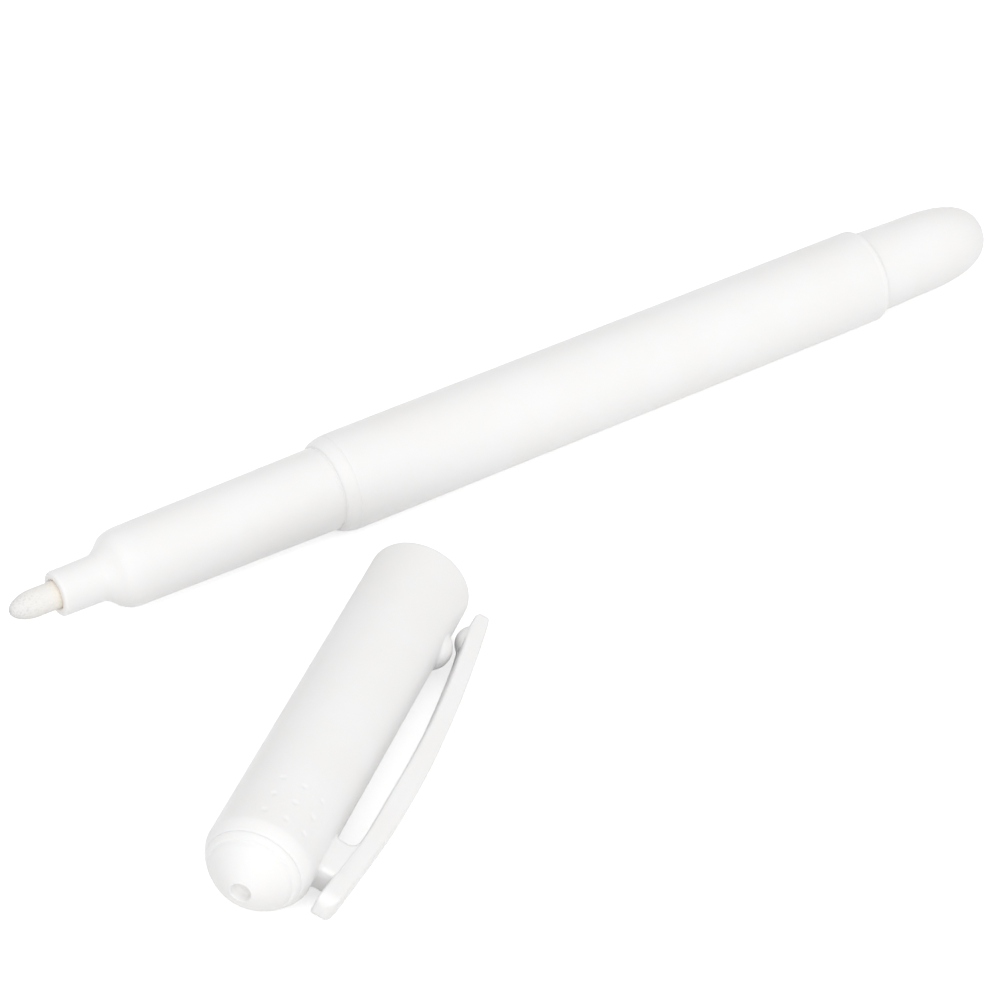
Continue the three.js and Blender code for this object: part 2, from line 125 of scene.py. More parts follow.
def turnPiece(name, stations, around=128):
    # A ring is drawn out from station to station; at a pole it is only very small
    points = [(x, max(radius, modelling["pole"])) for x, radius in stations]
    freeSelection()
    x, radius = points[0]
    bpy.ops.mesh.primitive_circle_add(
        vertices=around, radius=radius, fill_type="NOTHING", location=(0, 0, 0), rotation=(0, math.pi / 2, 0))
    bpy.ops.object.transform_apply(location=True, rotation=True, scale=True)
    piece = nameNew(name)
    bpy.ops.object.mode_set(mode="EDIT")
    bpy.ops.mesh.select_all(action="SELECT")
    bpy.ops.transform.translate(value=(x, 0, 0))
    for nextX, nextRadius in points[1:]:
        bpy.ops.mesh.extrude_region_move(TRANSFORM_OT_translate={"value": (nextX - x, 0, 0)})
        if abs(nextRadius - radius) > modelling["sameRadius"]:
            size = nextRadius / radius
            bpy.ops.transform.resize(value=(1, size, size), center_override=(nextX, 0, 0))
        x, radius = nextX, nextRadius
    closeUp(modelling["turnedAngle"])
    return piece


def sweepPiece(name, sections, rounding, axis="X"):
    # A rounded rectangle drawn out through (station, offset, width, depth) sections
    freeSelection()
    bpy.ops.mesh.primitive_plane_add(size=2, location=(0, 0, 0), rotation=(0, 0, 0))
    piece = nameNew(name)
    bpy.ops.object.mode_set(mode="EDIT")
    bpy.ops.mesh.select_all(action="SELECT")
    bpy.ops.mesh.bevel(offset=rounding, affect="VERTICES", segments=modelling["cornerSteps"])
    if axis == "X":
        bpy.ops.transform.rotate(value=math.pi / 2, orient_axis="Y", center_override=(0, 0, 0))
    place, offset, width, depth = sections[0]

    def spot(along, aside):
        return Vector((along, 0, aside)) if axis == "X" else Vector((aside, 0, along))

    def stretch(wide, deep):
        return (1, wide, deep) if axis == "X" else (deep, wide, 1)

    bpy.ops.transform.translate(value=spot(place, offset))
    bpy.ops.transform.resize(value=stretch(width / 2, depth / 2), center_override=spot(place, offset))
    for nextPlace, nextOffset, nextWidth, nextDepth in sections[1:]:
        move = spot(nextPlace, nextOffset) - spot(place, offset)
        bpy.ops.mesh.extrude_region_move(TRANSFORM_OT_translate={"value": move})
        growth = stretch(nextWidth / width, nextDepth / depth)
        bpy.ops.transform.resize(value=growth, center_override=spot(nextPlace, nextOffset))
        place, offset, width, depth = nextPlace, nextOffset, nextWidth, nextDepth
    closeUp(modelling["sweptAngle"])
    return piece


def subdivideNear(piece, near, cuts):
    # Finer faces where a small form needs them
    takeUp(piece)
    bpy.ops.object.mode_set(mode="EDIT")
    bpy.ops.mesh.select_mode(type="FACE")
    mesh = bmesh.from_edit_mesh(piece.data)
    for face in mesh.faces:
        face.select_set(near(face.calc_center_median()))
    bmesh.update_edit_mesh(piece.data)
    bpy.ops.mesh.subdivide(number_cuts=cuts)
    bpy.ops.mesh.select_mode(type="VERT")
    bpy.ops.object.mode_set(mode="OBJECT")


def reshape(piece, mover):
    for vertex in piece.data.vertices:
        vertex.co = mover(vertex.co)
    piece.data.update()


def settle(piece, place):
    # Millimetres about the piece's own axis become metres in the shared frame
    takeUp(piece)
    piece.matrix_world = Matrix.Scale(millimetre, 4) @ place
    bpy.ops.object.transform_apply(location=True, rotation=True, scale=True)


def smoothValue(table, x):
    # A curve through the table's points that never overshoots them
    if x <= table[0][0]:
        return table[0][1]
    if x >= table[-1][0]:
        return table[-1][1]
    slopes = [(after[1] - here[1]) / (after[0] - here[0]) for here, after in zip(table, table[1:])]
    bends = [slopes[0]]
    for left, right in zip(slopes, slopes[1:]):
        bends.append(0 if left * right <= 0 else 2 * left * right / (left + right))
    bends.append(slopes[-1])
    spot = max(i for i in range(len(slopes)) if table[i][0] <= x)
    wide = table[spot + 1][0] - table[spot][0]
    way = (x - table[spot][0]) / wide
    rest = 1 - way
    start, end = table[spot][1], table[spot + 1][1]
    return (start * (1 + 2 * way) * rest ** 2 + bends[spot] * wide * way * rest ** 2
            + end * way * way * (3 - 2 * way) + bends[spot + 1] * wide * way * way * (way - 1))


def spread(start, end, count):
    return [start + (end - start) * i / count for i in range(count + 1)]


def bulge(start, radius, length, power, count, inner=0.0):
    # A rounded end from radius at start to the inner radius at start + length
    out = []
    for i in range(count + 1):
        turn = i / count * math.pi / 2
        along = math.sin(turn) ** (2 / power)
        across = max(math.cos(turn), 0) ** (2 / power)
        out.append((start + length * along, inner + (radius - inner) * across))
    return out


# Finishes: each reads the object's own coordinates in metres
def newFinish(name):
    finish = bpy.data.materials.new(name)
    finish.use_nodes = True
    nodes = finish.node_tree.nodes
    links = finish.node_tree.links
    shader = nodes["Principled BSDF"]
    coordinates = nodes.new("ShaderNodeTexCoord")
    mapping = nodes.new("ShaderNodeMapping")
    links.new(coordinates.outputs["Object"], mapping.inputs["Vector"])
    return finish, nodes, links, shader, mapping


def addNoise(nodes, links, mapping, scale, detail, roughness=0.5):
    noise = nodes.new("ShaderNodeTexNoise")
    noise.inputs["Scale"].default_value = scale
    noise.inputs["Detail"].default_value = detail
    noise.inputs["Roughness"].default_value = roughness
    links.new(mapping.outputs["Vector"], noise.inputs["Vector"])
    return noise


def addRamp(nodes, links, source, stops):
    ramp = nodes.new("ShaderNodeValToRGB")
    while len(ramp.color_ramp.elements) < len(stops):
        ramp.color_ramp.elements.new(0.5)
    for element, (place, colour) in zip(ramp.color_ramp.elements, stops):
        element.position = place
        element.color = (*colour, 1)
    links.new(source, ramp.inputs["Fac"])
    return ramp


def addRange(nodes, links, source, low, high, start=0.0, end=1.0):
    span = nodes.new("ShaderNodeMapRange")
    span.inputs["From Min"].default_value = start
    span.inputs["From Max"].default_value = end
    span.inputs["To Min"].default_value = low
    span.inputs["To Max"].default_value = high
    links.new(source, span.inputs["Value"])
    return span


def addBump(nodes, links, shader, source, strength, depth):
    bump = nodes.new("ShaderNodeBump")
    bump.inputs["Strength"].default_value = strength
    bump.inputs["Distance"].default_value = depth
    links.new(source, bump.inputs["Height"])
    links.new(bump.outputs["Normal"], shader.inputs["Normal"])


def mouldedPlastic(look):
    finish, nodes, links, shader, mapping = newFinish(look["name"])
    cloudy = addNoise(nodes, links, mapping, look["cloudScale"], look["cloudDetail"])
    colours = list(zip(look["tintStops"], (look["warm"], look["cool"])))
    tint = addRamp(nodes, links, cloudy.outputs["Fac"], colours)
    links.new(tint.outputs["Color"], shader.inputs["Base Color"])
    flow = addNoise(nodes, links, mapping, look["flowScale"], look["flowDetail"])
    gloss = addRange(nodes, links, flow.outputs["Fac"], *look["gloss"], *look["flowRange"])
    links.new(gloss.outputs["Result"], shader.inputs["Roughness"])
    grain = addNoise(nodes, links, mapping, look["grainScale"], look["grainDetail"])
    addBump(nodes, links, shader, grain.outputs["Fac"], look["grainStrength"], look["grainDepth"])
    shader.inputs["Specular IOR Level"].default_value = look["specular"]
    shader.inputs["Subsurface Weight"].default_value = look["glow"]
    shader.inputs["Subsurface Radius"].default_value = look["glowSpread"]
    shader.inputs["Subsurface Scale"].default_value = look["glowDepth"]
    return finish


whiteLook = {
    "name": "white moulded plastic",
    "warm": (0.85, 0.843, 0.834),
    "cool": (0.859, 0.856, 0.857),
    "tintStops": (0.36, 0.64),
    "cloudScale": 140,
    "cloudDetail": 3,
    "flowScale": 500,
    "flowDetail": 2,
    "flowRange": (0.3, 0.7),
    "gloss": (0.34, 0.46),
    "grainScale": 1900,
    "grainDetail": 3,
    "grainStrength": 0.12,
    "grainDepth": 0.00002,
    "specular": 0.25,
    "glow": 0.08,
    "glowSpread": (1.0, 0.8, 0.6),
    "glowDepth": 0.0008,
}
milkyLook = dict(
    whiteLook, name="milky liner plastic", warm=(0.74, 0.73, 0.7), cool=(0.78, 0.78, 0.76),
    gloss=(0.28, 0.4), glow=0.25)
whitePlastic = mouldedPlastic(whiteLook)
milkyPlastic = mouldedPlastic(milkyLook)

# The colour runs from root to tip between two places, in metres from where the nib begins to narrow
nibLook = {
    "shadeFrom": 0.0025,
    "shadeTo": -0.0028,
    # Painted warm shade at the root, where the nib goes into the nozzle, then the fibre's own tone, a little
    # greyer at the tip
    "paintedRootShadeAndTone": [
        (0.0, (0.86, 0.795, 0.69)), (0.22, (0.86, 0.84, 0.81)), (0.55, (0.86, 0.84, 0.81)),
        (1.0, (0.8, 0.795, 0.79)),
    ],
    "speck": (0.64, 0.63, 0.62),
    "speckScale": 4000,
    "speckDetail": 4,
    "speckRoughness": 0.6,
    "speckStops": [(0.36, (1, 1, 1)), (0.5, (0, 0, 0))],
    "speckShare": (0.1, 0.75),
    "speckRange": (0.3, 1.0),
    "grainScale": 4200,
    "grainDetail": 5,
    "grainRoughness": 0.65,
    "grainStrength": 0.6,
    "grainDepth": 0.00012,
    "gloss": (0.75, 0.95),
    "glossRange": (0.3, 0.7),
    "specular": 0.25,
}


def pressedFibre(look, rootX, tipX):
    finish, nodes, links, shader, mapping = newFinish("pressed nib fibre")
    axes = nodes.new("ShaderNodeSeparateXYZ")
    links.new(mapping.outputs["Vector"], axes.inputs["Vector"])
    along = addRange(nodes, links, axes.outputs["X"], 0, 1, rootX, tipX)
    # Colour along the nib, with painted shade at the root where it goes into the nozzle
    shade = addRamp(nodes, links, along.outputs["Result"], look["paintedRootShadeAndTone"])
    specks = addNoise(nodes, links, mapping, look["speckScale"], look["speckDetail"], look["speckRoughness"])
    spots = addRamp(nodes, links, specks.outputs["Fac"], look["speckStops"])
    share = nodes.new("ShaderNodeMath")
    share.operation = "MULTIPLY"
    amount = addRange(nodes, links, along.outputs["Result"], *look["speckShare"], *look["speckRange"])
    links.new(spots.outputs["Color"], share.inputs[0])
    links.new(amount.outputs["Result"], share.inputs[1])
    mix = nodes.new("ShaderNodeMix")
    mix.data_type = "RGBA"
    # Sockets 6 and 7 are the mix node's colours and socket 2 is its colour out
    links.new(share.outputs["Value"], mix.inputs["Factor"])
    links.new(shade.outputs["Color"], mix.inputs[6])
    mix.inputs[7].default_value = (*look["speck"], 1)
    links.new(mix.outputs[2], shader.inputs["Base Color"])
    grain = addNoise(nodes, links, mapping, look["grainScale"], look["grainDetail"], look["grainRoughness"])
    addBump(nodes, links, shader, grain.outputs["Fac"], look["grainStrength"], look["grainDepth"])
    wetness = addRange(nodes, links, specks.outputs["Fac"], *look["gloss"], *look["glossRange"])
    links.new(wetness.outputs["Result"], shader.inputs["Roughness"])
    shader.inputs["Specular IOR Level"].default_value = look["specular"]
    return finish


steelLook = {
    "tones": [(0.3, (0.5, 0.51, 0.53)), (0.7, (0.66, 0.67, 0.69))],
    "gloss": (0.18, 0.34),
    "glossRange": (0.3, 0.7),
    "lineScale": 2500,
    "lineDetail": 4,
    "grainStrength": 0.1,
    "grainDepth": 0.00001,
}


def drawnSteel(look, name, stretchAlong):
    finish, nodes, links, shader, mapping = newFinish(name)
    mapping.inputs["Scale"].default_value = stretchAlong
    lines = addNoise(nodes, links, mapping, look["lineScale"], look["lineDetail"])
    tone = addRamp(nodes, links, lines.outputs["Fac"], look["tones"])
    links.new(tone.outputs["Color"], shader.inputs["Base Color"])
    gloss = addRange(nodes, links, lines.outputs["Fac"], *look["gloss"], *look["glossRange"])
    links.new(gloss.outputs["Result"], shader.inputs["Roughness"])
    addBump(nodes, links, shader, lines.outputs["Fac"], look["grainStrength"], look["grainDepth"])
    shader.inputs["Metallic"].default_value = 1
    return finish


springSteel = drawnSteel(steelLook, "drawn spring steel", (0.1, 1, 1))
ballSteel = drawnSteel(steelLook, "polished ball steel", (1, 1, 1))
print("finishes ready")


def finishPiece(piece, place, body, finish, slot, *nodes):
    settle(piece, place)
    piece.data.materials.clear()
    piece.data.materials.append(finish)
    if body:
        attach(piece, body)
    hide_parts(*nodes)


# Barrel and the rounding that runs over the seam
barrelShape = {
    "radius": 5.5,
    "bore": 4.6,
    "rear": 73.9,
    "rearRound": 0.6,
    "rearSteps": 10,
    "rimLine": 72.85,
    "lineDepth": 0.03,
    "lineProfile": [(-0.1, 0.3), (-0.04, 0.9), (0.04, 0.9), (0.1, 0.3)],
    "lineReach": 0.2,
    "stepRound": 2.7,
    "stepSteps": 10,
    "straightFrom": 4.7,
    "straightSteps": 8,
    "gripRear": 4.69,
    "seam": 1.5,
    "seamDepth": 0.035,
    "seamHalf": 0.06,
    "seamEdge": 0.012,
}


def stepRadius(x):
    shape = barrelShape
    share = min(max((shape["stepRound"] - x) / shape["stepRound"], 0), 1)
    return shape["gripRear"] + (shape["radius"] - shape["gripRear"]) * math.sqrt(1 - share * share)


def makeBarrel(shape):
    seam, half, radius = shape["seam"], shape["seamHalf"], shape["radius"]
    outer = [
        (seam, stepRadius(seam) - shape["seamDepth"]),
        (seam + half / 2, stepRadius(seam) - shape["seamEdge"]),
    ]
    outer += [(x, stepRadius(x)) for x in spread(seam + half, shape["stepRound"], shape["stepSteps"])]
    line, reach = shape["rimLine"], shape["lineReach"]
    outer += [(x, radius) for x in spread(shape["straightFrom"], line - reach, shape["straightSteps"])]
    outer += [(line + side, radius - shape["lineDepth"] * share) for side, share in shape["lineProfile"]]
    outer += [(line + reach, radius)]
    rounding = shape["rearRound"]
    outer += bulge(shape["rear"] - rounding, radius, rounding, 2, shape["rearSteps"], radius - rounding)
    inner = [(shape["rear"], shape["bore"]), (seam, shape["bore"])]
    barrel = turnPiece("barrel_tube", outer + inner + outer[:1])
    finishPiece(barrel, penPlace, "pen", whitePlastic, "white_plastic", "barrel")


makeBarrel(barrelShape)
print("barrel ready")

# Front section: nozzle, shoulder, grip, flange and the spigot inside the barrel
sectionShape = {
    "nozzleTip": -33.15,
    "tipRadius": 2.51,
    "tipRound": 0.35,
    "tipSteps": 8,
    "nozzleTaper": 0.04,
    "nozzleLength": 3.55,
    "nozzleStations": (-32.15, -29.75, 3),
    "mouthBevel": 0.22,
    "nibBore": 1.57,
    "boreCone": 1.0,
    "valveBore": 3.4,
    "valveFront": -19.35,
    "spigot": 4.53,
    "spigotEnd": 12.5,
    "spigotBevel": (0.5, 0.3),
    "shoulder": [
        (-29.6, 2.55), (-29, 2.565), (-28.5, 2.58), (-28.15, 2.61), (-27.9, 2.68), (-27.65, 2.81),
        (-27.3, 3.05), (-26.9, 3.36), (-26.57, 3.664), (-26.3, 3.9), (-26, 4.07), (-25.6, 4.235),
        (-25.1, 4.35), (-24.6, 4.405), (-24.2, 4.42), (-23.2, 4.431),
    ],
    "shoulderSteps": 64,
    "gripStations": (-21, -0.6, 8),
    "stepGroove": [(-0.34, 0.008), (-0.24, 0.03), (-0.15, 0.08), (-0.05, 0.1), (0, 0.05), (0.005, 0)],
    "flangeSteps": 14,
    "flangeShort": 0.05,
    "seamEdge": (0.02, 0.015),
}


def makeSection(shape):
    tip, radius, rounding = shape["nozzleTip"], shape["tipRadius"], shape["tipRound"]
    outer = [(tip, shape["nibBore"] + shape["mouthBevel"]), (tip, radius - rounding)]
    for turn in spread(0, math.pi / 2, shape["tipSteps"])[1:]:
        outer.append((tip + rounding * (1 - math.cos(turn)), radius - rounding * (1 - math.sin(turn))))
    taper, length = shape["nozzleTaper"], shape["nozzleLength"]
    outer += [(x, radius + taper * (x - tip) / length) for x in spread(*shape["nozzleStations"])]
    table = shape["shoulder"]
    outer += [(x, smoothValue(table, x)) for x in spread(table[0][0], table[-1][0], shape["shoulderSteps"])]
    gripFront, frontRadius = table[-1]
    rearRadius = barrelShape["gripRear"]
    for x in spread(*shape["gripStations"]):
        outer.append((x, frontRadius + (rearRadius - frontRadius) * (x - gripFront) / -gripFront))
    outer += [(x, rearRadius - depth) for x, depth in shape["stepGroove"]]
    seam = barrelShape["seam"]
    flange = shape["stepGroove"][-1][0]
    steps = shape["flangeSteps"]
    for i in range(1, steps + 1):
        x = flange + (seam - shape["flangeShort"] - flange) * (i / steps) ** 2
        outer.append((x, stepRadius(x)))
    short, low = shape["seamEdge"]
    outer += [(seam - short, stepRadius(seam) - low), (seam, stepRadius(seam) - barrelShape["seamDepth"])]
    spigot, end = shape["spigot"], shape["spigotEnd"]
    bevelLength, bevelDepth = shape["spigotBevel"]
    outer += [(seam, spigot), (end - bevelLength, spigot), (end, spigot - bevelDepth)]
    inner = [
        (end, shape["valveBore"]),
        (shape["valveFront"], shape["valveBore"]),
        (shape["valveFront"] - shape["boreCone"], shape["nibBore"]),
        (tip + shape["mouthBevel"], shape["nibBore"]),
    ]
    section = turnPiece("grip_and_nozzle", outer + inner + outer[:1])
    finishPiece(section, penPlace, "pen", whitePlastic, "white_plastic", "front_section")


makeSection(sectionShape)
print("front section ready")

# Nib: a pressed fibre rod, its skin slightly uneven
nibShape = {
    "tip": -38.5,
    "tipLength": 3,
    "tipSteps": 22,
    "radius": 1.53,
    "fineFrom": 0.15,
    "fineTo": -32.2,
    "fineSteps": 22,
    "rear": -17.15,
    "rearBevel": 0.3,
    "unevenTo": -32.6,
    "unevenness": 0.012,
    "unevenShares": (0.2, 0.8),
    "seed": 7,
}


def makeNib(shape):
    radius, rear, bevel = shape["radius"], shape["rear"], shape["rearBevel"]
    dome = bulge(0, radius, shape["tipLength"], 2, shape["tipSteps"])
    start = shape["tip"] + shape["tipLength"]
    profile = [(start - x, ring) for x, ring in reversed(dome)]
    fine = spread(start + shape["fineFrom"], shape["fineTo"], shape["fineSteps"])
    profile += [(x, radius) for x in fine]
    profile += [(rear - bevel, radius), (rear, radius - bevel), (rear, 0)]
    nib = turnPiece("writing_nib", profile, around=96)
    takeUp(nib)
    bpy.ops.object.mode_set(mode="EDIT")
    bpy.ops.mesh.select_mode(type="VERT")
    mesh = bmesh.from_edit_mesh(nib.data)
    for vertex in mesh.verts:
        vertex.select_set(vertex.co.x < shape["unevenTo"])
    mesh.select_flush_mode()
    bmesh.update_edit_mesh(nib.data)
    even, outwards = shape["unevenShares"]
    bpy.ops.transform.vertex_random(
        offset=shape["unevenness"], uniform=even, normal=outwards, seed=shape["seed"])
    bpy.ops.object.mode_set(mode="OBJECT")
    edge = (stepPoint.x + start) * millimetre
    fibre = pressedFibre(nibLook, edge + nibLook["shadeFrom"], edge + nibLook["shadeTo"])
    finishPiece(nib, penPlace, "nib_set", fibre, "nib_fibre", "nib")


makeNib(nibShape)
print("nib ready")

# Tail plug: a hollow domed plug pushed into the barrel
plugShape = {
    "front": 65.9,
    "shoulder": 73.95,
    "shoulderEdge": [(0, 0.12), (0.05, 0.04), (0.15, 0)],
    "radius": 4.83,
    "taper": [(0.2, 0), (3, 0.06)],
    "wallFrom": 0.4,
    "wallShort": 0.3,
    "wallSteps": 12,
    "waist": 80.0,
    "waistRadius": 4.68,
    "domeLength": 10.83,
    "domePower": 2.9,
    "domeSteps": 56,
    "spigot": 4.55,
    "spigotBevel": (0.6, 0.3),
    "hollow": 3.35,
    "hollowShare": 0.35,
    "hollowEnd": [(0, 0), (0.4, 1.4), (1.5, 2.35), (3, 3.35)],
}


def makePlug(shape):
    shoulder, waist, radius = shape["shoulder"], shape["waist"], shape["radius"]
    front, spigot = shape["front"], shape["spigot"]
    bevelLength, bevelDepth = shape["spigotBevel"]
    hollowEnd = waist + shape["domeLength"] * shape["hollowShare"]
    profile = [(hollowEnd - back, ring) for back, ring in shape["hollowEnd"]]
    profile += [(front, shape["hollow"]), (front, spigot - bevelDepth), (front + bevelLength, spigot)]
    profile += [(shoulder, spigot)]
    profile += [(shoulder + way, radius - low) for way, low in shape["shoulderEdge"]]
    table = [(shoulder + way, radius - low) for way, low in shape["taper"]] + [(waist, shape["waistRadius"])]
    wall = spread(shoulder + shape["wallFrom"], waist - shape["wallShort"], shape["wallSteps"])
    profile += [(x, smoothValue(table, x)) for x in wall]
    profile += bulge(waist, shape["waistRadius"], shape["domeLength"], shape["domePower"], shape["domeSteps"])
    plug = turnPiece("tail_cap", profile)
    finishPiece(plug, penPlace, "pen", whitePlastic, "white_plastic", "tail_plug")


makePlug(plugShape)
print("tail plug ready")

# Cap shell with the round stop under the clip and nine shallow dimples on its side
capShape = {
    "radius": 5.56,
    "length": 50.25,
    "domeLength": 5.05,
    "domePower": 1.54,
    "domeFrom": 45.3,
    "domeSteps": 14,
    "mouthEdge": [(0, 0.15), (0.03, 0.06), (0.08, 0.02)],
    "mouthInner": 4.84,
    "mouthDepth": 26,
    "mouthLip": [(0.12, 0), (0.04, 0.03), (0, 0.1)],
    "midInner": 4.26,
    "boreCone": 0.5,
    "boreStation": 14,
    "plugGap": 0.05,
    "crownRadius": 5.0,
    "crownPlug": 4.75,
    "crownPlugLength": 4,
    "seamDepth": 0.06,
    "seamGap": 0.03,
    "seamReach": 0.16,
    "seamProfile": [(0.11, 0.08), (0.07, 0.3), (0.03, 0.65), (0, 1)],
    "mouthStations": [0.16, 0.4, 1, 2, 3, 4, 4.7],
    "stopStations": (4.95, 10.05, 20),
    "behindStop": [10.4, 11, 12],
    "middleStations": (14, 36, 11),
    "dimpleStations": (37.6, 45.2, 30),
    "skin": 0.1,
    "softAngle": 40,
}
stopShape = {
    "from": 7.5,
    "height": 1.01,
    "radius": 2.38,
    "fillet": 0.16,
    "reach": 2.6,
    "fineReach": 2.7,
    "fineCuts": 2,
    "side": 0.8,
}
dimpleShape = {
    "radius": 0.38,
    "fade": 0.1,
    "depth": 0.075,
    "rows": 3,
    "columns": 3,
    "rowStep": 2.45,
    "columnAngle": 23.7,
    "centre": 41.4,
    "fromClip": 87,
    "fineReach": 0.62,
    "fineCuts": 4,
}


def capRadius(station):
    shape = capShape
    share = min(max((station - shape["length"] + shape["domeLength"]) / shape["domeLength"], 0), 1)
    return shape["radius"] * (1 - share ** shape["domePower"]) ** (1 / shape["domePower"])


def capStation(radius):
    shape = capShape
    share = (1 - (radius / shape["radius"]) ** shape["domePower"]) ** (1 / shape["domePower"])
    return shape["length"] - shape["domeLength"] + shape["domeLength"] * share


crownSeam = capStation(capShape["crownRadius"])


def shellProfile(shape):
    radius = shape["radius"]
    stations = shape["mouthStations"] + spread(*shape["stopStations"]) + shape["behindStop"]
    stations += spread(*shape["middleStations"]) + spread(*shape["dimpleStations"])
    profile = [(-way, radius - low) for way, low in shape["mouthEdge"]]
    profile += [(-station, radius) for station in stations]
    seam = crownSeam - shape["seamGap"]
    dome = spread(shape["domeFrom"], seam - shape["seamReach"], shape["domeSteps"])
    profile += [(-station, capRadius(station)) for station in dome]
    for back, share in shape["seamProfile"]:
        profile.append((-(seam - back), capRadius(seam - back) - shape["seamDepth"] * share))
    pocket = crownSeam - shape["crownPlugLength"] - shape["plugGap"]
    mouth, middle, plug = shape["mouthInner"], shape["midInner"], shape["crownPlug"] + shape["plugGap"]
    depth = shape["mouthDepth"]
    profile += [(-seam, plug), (-pocket, plug), (-pocket, middle), (-(depth + shape["boreCone"]), middle)]
    profile += [(-depth, mouth), (-shape["boreStation"], mouth)]
    profile += [(-way, mouth + wider) for way, wider in shape["mouthLip"]]
    return profile + profile[:1]


def dimplePlaces(dimple):
    places = []
    for row in range(dimple["rows"]):
        for column in range(dimple["columns"]):
            station = dimple["centre"] + (row - (dimple["rows"] - 1) / 2) * dimple["rowStep"]
            turn = dimple["fromClip"] + (column - (dimple["columns"] - 1) / 2) * dimple["columnAngle"]
            turn = math.radians(turn)
            aside, up = capShape["radius"] * math.sin(turn), capShape["radius"] * math.cos(turn)
            places.append(Vector((-station, aside, up)))
    return places


def makeShell(shape, stop, dimple):
    radius = shape["radius"]
    shell = turnPiece("cap_body", shellProfile(shape), around=144)
    pits = dimplePlaces(dimple)
    sink = radius + stop["height"] - stop["radius"]

    def onSkin(place):
        return math.hypot(place.y, place.z) > radius - shape["skin"]

    def onClipSide(place):
        return place.z > radius * stop["side"]

    def fromStop(place):
        return math.hypot(place.x + stop["from"], place.y)

    def fromPit(place):
        return min((place - pit).length for pit in pits)

    def nearStop(place):
        return fromStop(place) < stop["fineReach"] and onClipSide(place) and onSkin(place)

    def nearPit(place):
        return onSkin(place) and fromPit(place) < dimple["fineReach"]

    def raiseStop(place):
        aside = fromStop(place)
        if not onClipSide(place) or aside > stop["reach"] or not onSkin(place):
            return place
        ball = sink + math.sqrt(max(stop["radius"] ** 2 - aside ** 2, 0))
        fillet = stop["fillet"] * 2
        blend = max(fillet - abs(place.z - ball), 0) / fillet
        lifted = max(place.z, ball) + blend * blend * fillet / 4
        return Vector((place.x, place.y, lifted))

    def pressPit(place):
        reach = dimple["radius"] + dimple["fade"]
        aside = fromPit(place)
        if aside > reach or not onSkin(place):
            return place
        depth = dimple["depth"] * (1 + math.cos(math.pi * aside / reach)) / 2
        return place + Vector((0, -place.y, -place.z)).normalized() * depth

    subdivideNear(shell, nearStop, stop["fineCuts"])
    reshape(shell, raiseStop)
    subdivideNear(shell, nearPit, dimple["fineCuts"])
    reshape(shell, pressPit)
    takeUp(shell)
    bpy.ops.object.shade_smooth_by_angle(angle=math.radians(shape["softAngle"]))
    finishPiece(shell, capPlace, "cap", whitePlastic, "white_plastic", "cap_shell")


makeShell(capShape, stopShape, dimpleShape)
print("cap shell ready")

# Crown: the domed disc in the closed end, with its pressed line and middle pit
discShape = {
    "line": 4.37,
    "lineDepth": 0.16,
    "lineHalf": 0.13,
    "pitRadius": 1.1,
    "pitDepth": 1.1,
    "pitProfile": [(0, 0), (0.01, 0.3), (0.05, 0.52), (0.16, 0.72), (0.36, 0.86), (0.62, 0.92)],
    "pitEdge": [(0.12, 0.95), (0.04, 0.98)],
    "faceSteps": 60,
    "faceInset": (0.03, 0.22),
    "seamProfile": [(0.17, 0.08), (0.13, 0.3), (0.09, 0.65), (0.06, 1)],
    "rim": (0.02, 0.07),
    "plugBevel": 0.3,
    "plugWall": 1.4,
    "hollowDepth": 1.2,
    "hollowRadius": 0.6,
    "floorWall": 1.05,
}


def makeCrown(shape):
    pit, rim = shape["pitRadius"], capShape["crownRadius"]
    apex = capStation(pit)
    floor = apex - shape["pitDepth"]
    profile = [(-(floor + rise), pit * share) for rise, share in shape["pitProfile"]]
    profile += [(-(apex - low), pit * share) for low, share in shape["pitEdge"]]
    inside, outside = shape["faceInset"]
    for radius in spread(pit + inside, rim - outside, shape["faceSteps"]):
        groove = shape["lineDepth"] * math.exp(-((radius - shape["line"]) / shape["lineHalf"]) ** 2)
        profile.append((-(capStation(radius) - groove), radius))
    for inwards, share in shape["seamProfile"]:
        radius = rim - inwards
        profile.append((-(capStation(radius) - capShape["seamDepth"] * share), radius))
    rimLow, rimInset = shape["rim"]
    edge = crownSeam - rimLow
    plug, wall, bevel = capShape["crownPlug"], shape["plugWall"], shape["plugBevel"]
    back = crownSeam - capShape["crownPlugLength"]
    under = floor - shape["floorWall"]
    profile += [
        (-edge, rim - rimInset), (-edge, plug), (-(back + bevel), plug), (-back, plug - bevel),
        (-back, plug - wall), (-(back + shape["hollowDepth"]), plug - wall),
        (-under, shape["hollowRadius"]), (-under, 0),
    ]
    crown = turnPiece("cap_end_disc", profile)
    finishPiece(crown, capPlace, "cap", whitePlastic, "white_plastic", "cap_crown")


makeCrown(discShape)
print("crown ready")

# Liner: the cup deep in the cap that seals round the nozzle
linerShape = {
    "mouth": 28.4,
    "mouthBevel": 0.1,
    "length": 13,
    "outer": 4.21,
    "endRound": 0.4,
    "endSteps": 6,
    "lip": 2.75,
    "lipLength": 1.8,
    "lipRound": 0.5,
    "lipSteps": 8,
    "lipCone": 0.6,
    "wall": 0.8,
    "innerBevel": 0.3,
}


